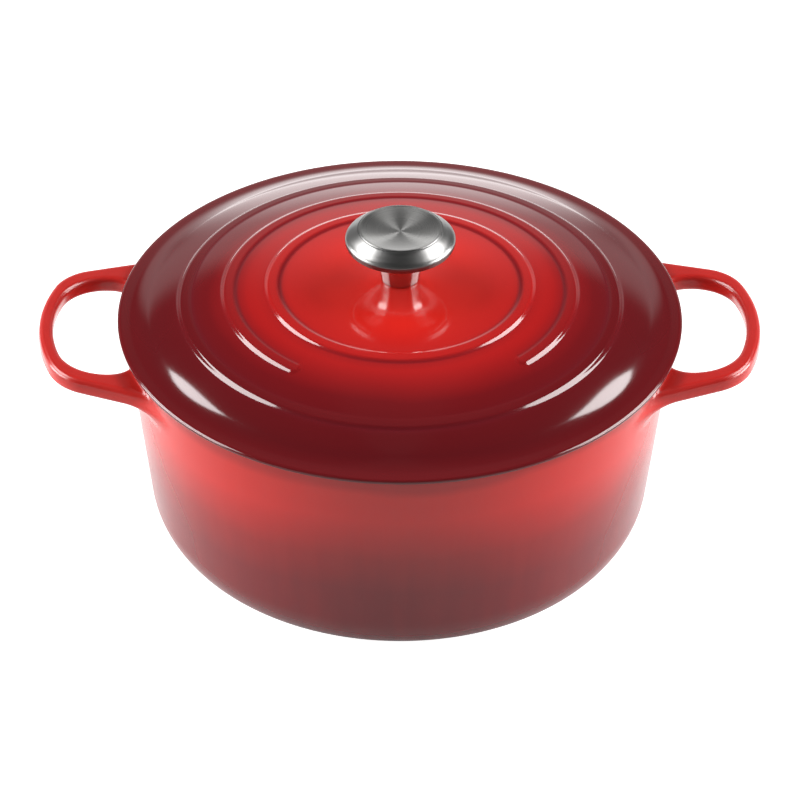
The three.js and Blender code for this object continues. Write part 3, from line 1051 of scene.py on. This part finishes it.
def soft_light(name, azimuth, elevation, distance, width, height, radiance, shape):
    """A soft box that faces the object. Azimuth is from +X towards +Y."""
    a, e = radians(azimuth), radians(elevation)
    data = bpy.data.lights.new(name, "AREA")
    data.shape, data.size, data.size_y = shape, width, height
    data.energy = radiance * pi * width * height * (pi / 4 if shape == "ELLIPSE" else 1)
    made = bpy.data.objects.new(name, data)
    away = Vector((cos(a) * cos(e), sin(a) * cos(e), sin(e)))
    made.location = Vector((0, 0, 0.09)) + distance * away
    made.rotation_euler = away.to_track_quat("Z", "Y").to_euler()
    made.visible_camera = False
    bpy.context.scene.collection.objects.link(made)


def lights():
    for side, azimuth in (("right", 17), ("left", 163)):
        soft_light("softbox_" + side, azimuth, 46, 4.0, 3.5, 1.7, 13.0, "ELLIPSE")
    for side, azimuth in (("right", 0), ("left", 180)):
        soft_light("low_" + side, azimuth, 13, 3.0, 2.4, 1.2, 18.0, "RECTANGLE")
    soft_light("front", -90, 22, 2.6, 3.6, 1.6, 0.15, "RECTANGLE")


def world():
    """A bright backdrop on the +Y side. The camera is shown plain white in its place."""
    nodes = Nodes(bpy.data.worlds.new("studio"))
    split = nodes.add("SeparateXYZ", {0: nodes.add("TexCoord").outputs["Generated"]})
    level = nodes.math("ARCSINE", split.outputs["Z"])
    rise = nodes.ramp(
        nodes.math("DIVIDE", level, radians(90), clamp=True),
        [
            (0.00, (1.0, 1.0, 1.0)),
            (0.07, (0.85, 0.85, 0.85)),
            (0.16, (0.34, 0.34, 0.34)),
            (0.27, (0.17, 0.17, 0.17)),
            (0.40, (0.02, 0.02, 0.02)),
        ],
    )
    side = nodes.sideways(split)
    low = nodes.math(
        "MULTIPLY",
        nodes.span(level, radians(5), radians(15), 0.3, 0.6),
        nodes.span(level, radians(20), radians(27), 1.0, 0.0),
    )
    tail = nodes.math("MULTIPLY", low, nodes.span(side, 0.60, 0.95, 1.0, 0.0))
    wide = nodes.span(side, 0.11, 0.29, 1.0, 0.0)
    glow = nodes.mix(wide, tail, nodes.math("MULTIPLY", rise, 2.6))
    glow = nodes.math("MULTIPLY_ADD", glow, nodes.span(split.outputs["Y"], 0.1, 0.2), 0.06)
    seen = nodes.add("LightPath").outputs["Is Camera Ray"]
    colour = nodes.mix(seen, glow, (1, 1, 1, 1))
    nodes.feed(nodes.tree.nodes["Background"], "Color", colour)
    bpy.context.scene.world = nodes.owner


def floor():
    """Pale paper, glowing in a band and a patch towards +Y; the camera sees an even, near-white glow."""
    nodes = new_material("floor_paper")
    place = nodes.place()
    pale = nodes.mix(nodes.noise(place, 3.0), (0.37, 0.37, 0.37, 1), (0.41, 0.41, 0.41, 1))
    split = nodes.add("SeparateXYZ", {0: place})
    back = split.outputs["Y"]
    middle = nodes.span(nodes.sideways(split), 0.24, 0.60, 1.0, 0.0)
    far = nodes.math("MULTIPLY", nodes.span(back, 0.8, 2.0), middle)
    fade = nodes.span(back, 0.4, 0.8, 1.0, 0.0)
    near = nodes.math("MULTIPLY", nodes.span(back, -0.20, 0.12), fade)
    glow = nodes.math("MULTIPLY_ADD", far, 2.4, near)
    seen = nodes.add("LightPath").outputs["Is Camera Ray"]
    strength = nodes.mix(seen, glow, (0.96, 0.96, 0.96, 1))
    nodes.shade(Base_Color=pale, Roughness=0.9, Emission_Color=strength, Emission_Strength=1.0)
    mesh = bpy.data.meshes.new("floor")
    half = 6.0
    corners = [(-half, -half, 0), (half, -half, 0), (half, half, 0), (-half, half, 0)]
    mesh.from_pydata(corners, [], [(0, 1, 2, 3)])
    mesh.materials.append(nodes.owner)
    made = bpy.data.objects.new("floor", mesh)
    made.location.z = -0.0002
    bpy.context.scene.collection.objects.link(made)


camera()
lights()
world()
floor()
pot()
lid()
knob_top()
knob_skirt()
fixings()
bpy.context.scene.view_settings.view_transform = "Standard"
